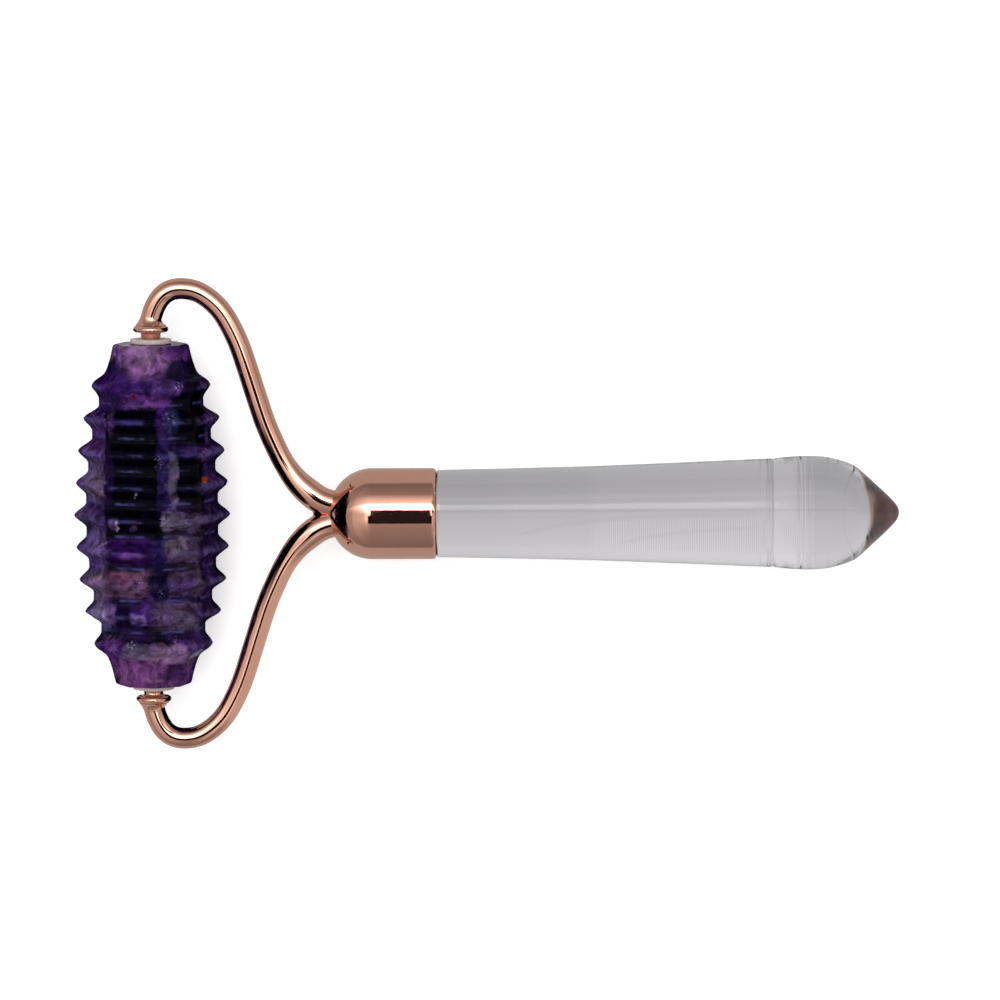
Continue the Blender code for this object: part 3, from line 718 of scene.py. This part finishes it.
def build_arms():
    line, run = spline(ARM_PATH, 700)
    reach = arm_radius(line, run)
    stations = np.concatenate([np.linspace(0, 1.6, 10)[:-1], np.linspace(1.6, run[-1], 210)])
    path = np.stack([np.interp(stations, run, line[:, k]) for k in (0, 1)], axis=1)
    radius = np.interp(stations, run, reach)
    tangent = np.gradient(path, stations, axis=0)
    tangent /= np.linalg.norm(tangent, axis=1)[:, None]
    tangent[0] = (0.0, 1.0)
    tangent[-1] = (1.0, 0.0)
    sides = 48
    turn = np.arange(sides) * TAU / sides

    near = line[::3]
    near_r = reach[::3]

    def outside(points):
        """Distance to the two arms melted together at their roots."""
        gaps = []
        for sign in (1.0, -1.0):
            centre = near * (1.0, sign)
            flat = (points[:, None, 0] - centre[None, :, 0]) ** 2 + (points[:, None, 1] - centre[None, :, 1]) ** 2
            gaps.append((np.sqrt(flat + points[:, None, 2] ** 2) - near_r).min(axis=1))
        a, b = gaps
        soft = 0.55
        h = np.clip(0.5 + 0.5 * (b - a) / soft, 0, 1)
        return b * (1 - h) + a * h - soft * h * (1 - h)

    rings = []
    for (px, py), (tx, ty), r in zip(path, tangent, radius):
        out = np.stack([-ty * np.cos(turn), tx * np.cos(turn), np.sin(turn)], axis=1)
        reach_now = np.full(sides, r)
        if py < 7.5:
            low, high = reach_now * 0.9, reach_now * 2.0
            start = np.array((px, py, 0.0))
            for _ in range(14):
                mid = (low + high) / 2
                inside = outside(start + out * mid[:, None]) < 0
                low = np.where(inside, mid, low)
                high = np.where(inside, high, mid)
            reach_now = (low + high) / 2
            down = out[:, 1] < -1e-6
            limit = np.where(down, (py - 0.004) / np.maximum(-out[:, 1], 1e-6), 1e9)
            reach_now = np.minimum(reach_now, limit)
        rings.append([(px + o[0] * q, py + o[1] * q, o[2] * q) for o, q in zip(out, reach_now)])
    for label, side in (("upper", 1.0), ("lower", -1.0)):
        mine = [[(x, y * side, z) for x, y, z in ring] for ring in rings]
        piece(label + "_arm_rod", mine, MATS["rose_gold"], "frame", [label + "_arm"], sharp=38.0)


# --------------------------------------------------------- collars and washers
def build_ends():
    for label, side in (("upper", 1.0), ("lower", -1.0)):
        profile = [(30.0, 1.06), (30.0, 1.52), (30.06, 1.60), (30.14, 1.64), (30.75, 1.66), (30.95, 1.76), (31.04, 1.95)]
        profile += [(31.08, 2.2), (31.1, 2.42)] + arc((31.62, 2.48), 0.52, 178, 92, 8)[1:]
        profile += arc((31.62, 2.48), 0.52, 84, 20, 6)
        profile += [(32.18, 2.62), (32.24, 2.56), (32.25, 2.50), (32.25, 1.06)]
        rings = turned([(side * y, r) for y, r in profile], "Y", 96)
        piece(label + "_collar_bead", rings, MATS["rose_gold_collar"], "frame", [label + "_collar"], close=True, sharp=40.0)

        low, high = 29.15, 29.95
        profile = [(low, 1.25), (low, 3.30)] + arc((low + 0.2, 3.30), 0.2, 180, 90, 5)[1:] + arc((high - 0.2, 3.30), 0.2, 90, 0, 5)
        profile += [(high, 1.32), (high - 0.07, 1.25)]
        rings = turned([(side * y, r) for y, r in profile], "Y", 96)
        piece(label + "_washer_disc", rings, MATS["nylon_white"], label + "_washer_body", [label + "_washer"], close=True, sharp=40.0)


# ------------------------------------------------------------------------- cap
def build_cap():
    nose, dome, rim, r = 30.0, 37.4, 48.37, 7.75
    reach = dome - nose
    steps = 30
    outer = [(dome - reach * math.cos(math.pi / 2 * k / steps), r * math.sin(math.pi / 2 * k / steps)) for k in range(steps + 1)]
    outer += [(x, r) for x in (39.5, 42.0, 44.5, 46.6)]
    edge = arc((rim - 0.75, r - 0.75), 0.75, 90, 8, 10)
    bore = r - 0.8
    inner = [
        (dome - (reach - 1.0) * math.cos(math.radians(a)), bore * math.sin(math.radians(a)))
        for a in (90, 81, 72, 63, 54, 45, 36, 27, 18, 9, 0)
    ]
    profile = outer + edge + [(rim, r - 0.78), (rim, bore + 0.12), (rim - 0.1, bore)] + inner
    piece("ferrule_bell", turned(profile, "X", 160), MATS["rose_gold_cap"], "frame", ["ferrule_cap"], sharp=30.0)


# ---------------------------------------------------------------------- handle
def build_handle():
    rough = [
        (48.47, 7.30), (48.60, 7.41), (60.0, 7.63), (75.0, 8.00), (90.0, 8.58), (103.6, 9.16), (105.1, 9.23),
    ]
    profile = [(37.55, 0.0), (37.55, 6.1), (37.85, 6.40), (42.0, 6.40), (48.40, 6.40), (48.44, 7.20)]
    xs = [p[0] for p in rough]
    rs = [p[1] for p in rough]

    def body(x):
        return float(np.interp(x, xs, rs))

    x = 48.47
    while x < 104.9:
        profile.append((x, body(x)))
        x += 0.13 if x < 48.7 else 1.1
    # the waist groove: a shallow round cut
    profile += [(104.95, 9.225), (105.12, 9.215), (105.26, 9.17), (105.38, 9.135), (105.5, 9.125), (105.62, 9.14), (105.74, 9.19), (105.88, 9.26)]
    bulge = ((105.88, 9.26), (106.8, 9.37), (107.8, 9.47), (108.8, 9.555), (109.9, 9.62), (110.9, 9.645), (112.0, 9.65), (113.0, 9.61),
             (114.0, 9.54), (115.0, 9.39), (115.9, 9.20), (117.0, 8.90), (117.9, 8.62), (118.7, 8.31), (119.3, 8.02), (119.8, 7.70),
             (120.3, 7.28), (121.2, 6.48), (122.1, 5.66), (123.1, 4.73), (124.2, 3.72), (124.9, 3.05), (125.6, 2.36), (126.05, 1.87),
             (126.4, 1.45), (126.62, 1.10), (126.8, 0.72), (126.89, 0.38), (126.93, 0.0))
    smooth, _ = spline(bulge, 300)
    for sx, sr in smooth[1:]:
        cut = 0.045 * math.exp(-(((sx - 110.6) / 0.14) ** 2)) + 0.035 * math.exp(-(((sx - 111.9) / 0.12) ** 2))
        profile.append((float(sx), max(0.0, float(sr) - cut)))
    profile[-1] = (126.93, 0.0)
    piece("handle_rod", turned(profile, "X", 160), MATS["clear_crystal"], "frame", ["handle_crystal"], sharp=35.0)


build_stone()
build_arms()
build_ends()
build_cap()
build_handle()

# The CAD nodes that stay keep their shape and take the finished materials.
for node, slot in (
    ("upper_pin", "steel"), ("lower_pin", "steel"), ("upper_bush", "nylon_bush"), ("lower_bush", "nylon_bush"),
    ("arm_root_solder", "solder"), ("handle_adhesive", "clear_glue"),
):
    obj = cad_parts[node]
    for place in obj.material_slots:
        place.material = MATS[slot]


# ---------------------------------------------------------------------- studio
def staged(name, corners, shade):
    """A sheet over the object that only reflections see: a softbox or a black flag."""
    mesh = bpy.data.meshes.new(name)
    mesh.from_pydata([tuple(Vector(corner) * 0.001 + AXIS) for corner in corners], [], [(0, 3, 2, 1)])
    mat = bpy.data.materials.new(name)
    mat.use_nodes = True
    t = Tree(mat.node_tree)
    out = t.tree.nodes.new("ShaderNodeOutputMaterial")
    t.put(out.inputs[0], shade(t))
    mesh.materials.append(mat)
    obj = bpy.data.objects.new(name, mesh)
    bpy.context.scene.collection.objects.link(obj)
    for kind in ("camera", "diffuse", "transmission", "volume_scatter", "shadow"):
        setattr(obj, "visible_" + kind, False)
    mat.cycles.emission_sampling = "NONE"
    return obj


def card(name, x0, x1, y0, y1, height, light):
    corners = [(x0, y0, height), (x1, y0, height), (x1, y1, height), (x0, y1, height)]
    return staged(name, corners, lambda t: t.node("ShaderNodeEmission", {"Color": (1, 1, 1, 1), "Strength": light}))


def black_one_side(t):
    """Black from the front, and not there at all from behind."""
    back = t.node("ShaderNodeNewGeometry", out=6)
    dark = t.node("ShaderNodeEmission", {"Color": (0, 0, 0, 1), "Strength": 0.0})
    clear = t.node("ShaderNodeBsdfTransparent")
    return t.node("ShaderNodeMixShader", {0: back, 1: dark, 2: clear})


def black_fading(t):
    """Black from the front, thinning away towards both ends."""
    back = t.node("ShaderNodeNewGeometry", out=6)
    y = t.node("ShaderNodeSeparateXYZ", {0: t.local()}, out=1)
    share = t.maths("MAXIMUM", back, t.remap(t.maths("ABSOLUTE", y), 6.0, 20.5))
    dark = t.node("ShaderNodeEmission", {"Color": (0, 0, 0, 1), "Strength": 0.0})
    clear = t.node("ShaderNodeBsdfTransparent")
    return t.node("ShaderNodeMixShader", {0: share, 1: dark, 2: clear})


def soft_lid(t):
    """An even light over the clear rod, with one brighter strip along it."""
    x, y = (t.node("ShaderNodeSeparateXYZ", {0: t.local()}, out=i) for i in range(2))
    strip = t.maths("MULTIPLY", t.remap(y, 2.9, 4.2), t.remap(y, 5.2, 6.9, 1.0, 0.0))
    strip = t.maths("MULTIPLY", strip, t.remap(x, 98.0, 110.0, 1.0, 0.0))
    broad = t.remap(t.maths("ABSOLUTE", y), 2.0, 9.0, 0.66, 0.38)
    seam = t.remap(t.maths("ABSOLUTE", t.maths("SUBTRACT", y, 2.5)), 0.15, 0.6)
    return t.node("ShaderNodeEmission", {"Color": (1, 1, 1, 1), "Strength": t.maths("MULTIPLY", t.maths("MULTIPLY_ADD", strip, 1.8, broad), seam)})


card("flag_cap", 30.0, 52.0, -32.0, 27.0, 100.0, 0.02)
# a dark sheet just over the floor left of the stone, seen only in reflections: the stone's shadow on the floor, painted
# into the reflections
card("floor_shadow_left", -48.0, -8.5, -30.0, 30.0, -12.9, 0.03)
# black sheets right of and under the stone, seen only in reflections: painted dark reflections where the pale room
# would show
staged("flag_right", [(14.2, -30.0, -13.0), (14.2, 30.0, -13.0), (14.2, 30.0, 3.0), (14.2, -30.0, 3.0)], black_one_side)
staged("flag_under", [(-6.0, -30.0, -33.2), (-6.0, 30.0, -33.2), (14.2, 30.0, -13.0), (14.2, -30.0, -13.0)], black_one_side)
staged("flag_nose", [(15.4, 21.0, 1.0), (15.4, -21.0, 1.0), (15.4, -21.0, 11.4), (15.4, 21.0, 11.4)], black_fading)
# short black walls round the stone's ends, seen from the stone only: painted dark reflections in its ends
for name, x0, y0, x1, y1, top in (("right_far", 13.2, 29.5, 5.5, 35.0, 3.0), ("right_near", 5.5, -35.0, 13.2, -29.5, 3.0),
                                  ("left_far", -8.0, 32.7, -14.2, 24.0, -1.0), ("left_near", -14.2, -24.0, -8.0, -32.7, -1.0)):
    staged("flag_" + name, [(x0, y0, -13.0), (x1, y1, -13.0), (x1, y1, top), (x0, y0, top)], black_one_side)
staged("lid_handle", [(48.6, -9.0, 14.0), (140.0, -9.0, 14.0), (140.0, 9.0, 14.0), (48.6, 9.0, 14.0)], soft_lid)

# floor
floor_mesh = bpy.data.meshes.new("floor")
floor_mesh.from_pydata([(-6, -6, 0), (6, -6, 0), (6, 6, 0), (-6, 6, 0)], [], [(0, 1, 2, 3)])
floor_mat, t, shader = new_material("pale_floor")
place = t.node("ShaderNodeTexCoord", out=3)
t.put(shader.inputs["Base Color"], t.mix(t.noise(place, 3.0, 3.0), (0.93, 0.93, 0.935), (0.95, 0.95, 0.95)))
shader.inputs["Roughness"].default_value = 0.9
shader.inputs["Specular IOR Level"].default_value = 0.0
shader.inputs["Emission Color"].default_value = (1.0, 1.0, 1.0, 1.0)
shader.inputs["Emission Strength"].default_value = 0.30
floor_mesh.materials.append(floor_mat)
floor = bpy.data.objects.new("floor", floor_mesh)
bpy.context.scene.collection.objects.link(floor)
floor.visible_glossy = False
floor.visible_transmission = False

# world: a pale even room for the floor, and a studio of soft boxes for reflections
world = bpy.data.worlds.new("studio")
bpy.context.scene.world = world
world.use_nodes = True
world.cycles.sampling_method = "NONE"
t = Tree(world.node_tree)
out = t.tree.nodes.new("ShaderNodeOutputWorld")
direction = t.node("ShaderNodeTexCoord", out=0)
dx, dy, dz = (t.node("ShaderNodeSeparateXYZ", {0: direction}, out=i) for i in range(3))


def band(value, stops):
    """A smooth curve through (degrees, light) stops, from -180 to 180."""
    ramp = t.tree.nodes.new("ShaderNodeFloatCurve")
    curve = ramp.mapping.curves[0]
    ramp.mapping.clip_max_y = 8.0
    ramp.mapping.use_clip = False
    points = [((d + 180) / 360, v) for d, v in stops]
    curve.points[0].location = points[0]
    curve.points[1].location = points[-1]
    for place in points[1:-1]:
        curve.points.new(*place)
    for point in curve.points:
        point.handle_type = "VECTOR"
    ramp.mapping.update()
    unit = t.maths("MULTIPLY_ADD", value, 0.5 / math.pi, 0.5)
    t.put(ramp.inputs["Value"], unit)
    return ramp.outputs[0]


beta = t.maths("ARCTAN2", dy, dz)
gamma = t.maths("ARCTAN2", dx, dz)
F = ((-180, 0.46), (-93, 0.47), (-88, 0.22), (-60, 0.27), (-24, 0.33), (-16, 0.5), (-4, 1.2), (4, 1.9), (11, 4.2), (29, 5.0),
     (32, 1.3), (44, 0.80), (56, 0.30), (86, 0.20), (93, 0.46), (180, 0.46))
G = ((-180, 0.46), (-93, 0.46), (-87, 0.36), (-58, 0.42), (-52, 0.62), (-22, 0.78), (-13, 1.5), (3, 2.2), (8, 3.4), (19, 3.0),
     (25, 0.72), (46, 0.42), (86, 0.30), (93, 0.46), (180, 0.46))
f = band(beta, F)
g = band(gamma, G)
xx = t.maths("MULTIPLY", dx, dx)
yy = t.maths("MULTIPLY", dy, dy)
side = t.maths("DIVIDE", xx, t.maths("ADD", t.maths("ADD", xx, yy), 1e-4))
gloss = t.number(side, f, g)
# the dark lens over the table
low_side = t.maths("MULTIPLY", t.remap(gamma, math.radians(3), math.radians(9)), t.remap(beta, math.radians(-5), math.radians(-11)))
gloss = t.number(t.maths("MULTIPLY", low_side, t.remap(side, 0.25, 0.6)), gloss, 0.60)
spot_y = t.maths("MULTIPLY", t.remap(beta, math.radians(-21), math.radians(-18)), t.remap(beta, math.radians(0), math.radians(3), 1.0, 0.0))
spot_x = t.remap(t.maths("ABSOLUTE", gamma), math.radians(9), math.radians(12), 1.0, 0.0)
gloss = t.number(t.maths("MULTIPLY", spot_x, spot_y), gloss, 0.0)
# what shows through the clear handle
lean = t.maths("MINIMUM", t.maths("MAXIMUM", t.maths("MULTIPLY_ADD", dx, 0.9, -0.07), -0.055), 0.055)
through = t.maths("ADD", t.remap(dy, -0.8, 0.8, 0.41, 0.68), lean)
path = t.tree.nodes.new("ShaderNodeLightPath")
seen = t.number(path.outputs["Is Transmission Ray"], gloss, through)
bounced = t.maths("MAXIMUM", path.outputs["Is Glossy Ray"], path.outputs["Is Transmission Ray"], clamp=True)
light = t.number(bounced, 0.80, seen)
light = t.number(path.outputs["Is Camera Ray"], light, 0.96)
t.put(out.inputs[0], t.node("ShaderNodeBackground", {"Color": (1.0, 1.0, 1.0, 1.0), "Strength": light}))


def softbox(name, place, size, power):
    lamp = bpy.data.lights.new(name, "AREA")
    lamp.shape = "SQUARE"
    lamp.size = size
    lamp.energy = power
    obj = bpy.data.objects.new(name, lamp)
    obj.location = place
    obj.rotation_mode = "QUATERNION"
    obj.rotation_quaternion = (-Vector(place)).to_track_quat("-Z", "Y")
    bpy.context.scene.collection.objects.link(obj)
    obj.visible_glossy = False
    obj.visible_camera = False
    obj.visible_transmission = False
    return obj


softbox("softbox_key", (-0.15, 0.35, 1.5), 0.9, 11.5)

# camera: high over the object, leaning a little towards its far side
camera_data = bpy.data.cameras.new("camera")
camera_data.sensor_width = 36.0
camera_data.lens = 36.0 / 2 / (0.16994 / 2 / 1.2)
camera_data.clip_start = 0.05
camera_data.clip_end = 50.0
camera = bpy.data.objects.new("camera", camera_data)
tilt, yaw, roll = (math.radians(a) for a in (6.35, 0.53, 0.2))
back = Vector((math.sin(yaw) * math.cos(tilt), math.sin(tilt), math.cos(tilt) * math.cos(yaw))).normalized()
right = Vector((0, 1, 0)).cross(back).normalized()
up = back.cross(right)
right, up = right * math.cos(roll) - up * math.sin(roll), right * math.sin(roll) + up * math.cos(roll)
aim = Vector((0.00231, 0.00229, 0.0133)) + back * 1.2
camera.matrix_world = Matrix(
    ((right.x, up.x, back.x, aim.x), (right.y, up.y, back.y, aim.y), (right.z, up.z, back.z, aim.z), (0, 0, 0, 1))
)
bpy.context.scene.collection.objects.link(camera)
bpy.context.scene.camera = camera

bpy.context.scene.view_settings.view_transform = "Standard"
bpy.context.scene.view_settings.look = "None"
bpy.context.scene.cycles.transparent_max_bounces = 8
bpy.context.scene.cycles.max_bounces = 16
bpy.context.scene.cycles.transmission_bounces = 16
bpy.context.scene.cycles.glossy_bounces = 8

bpy.context.view_layer.update()
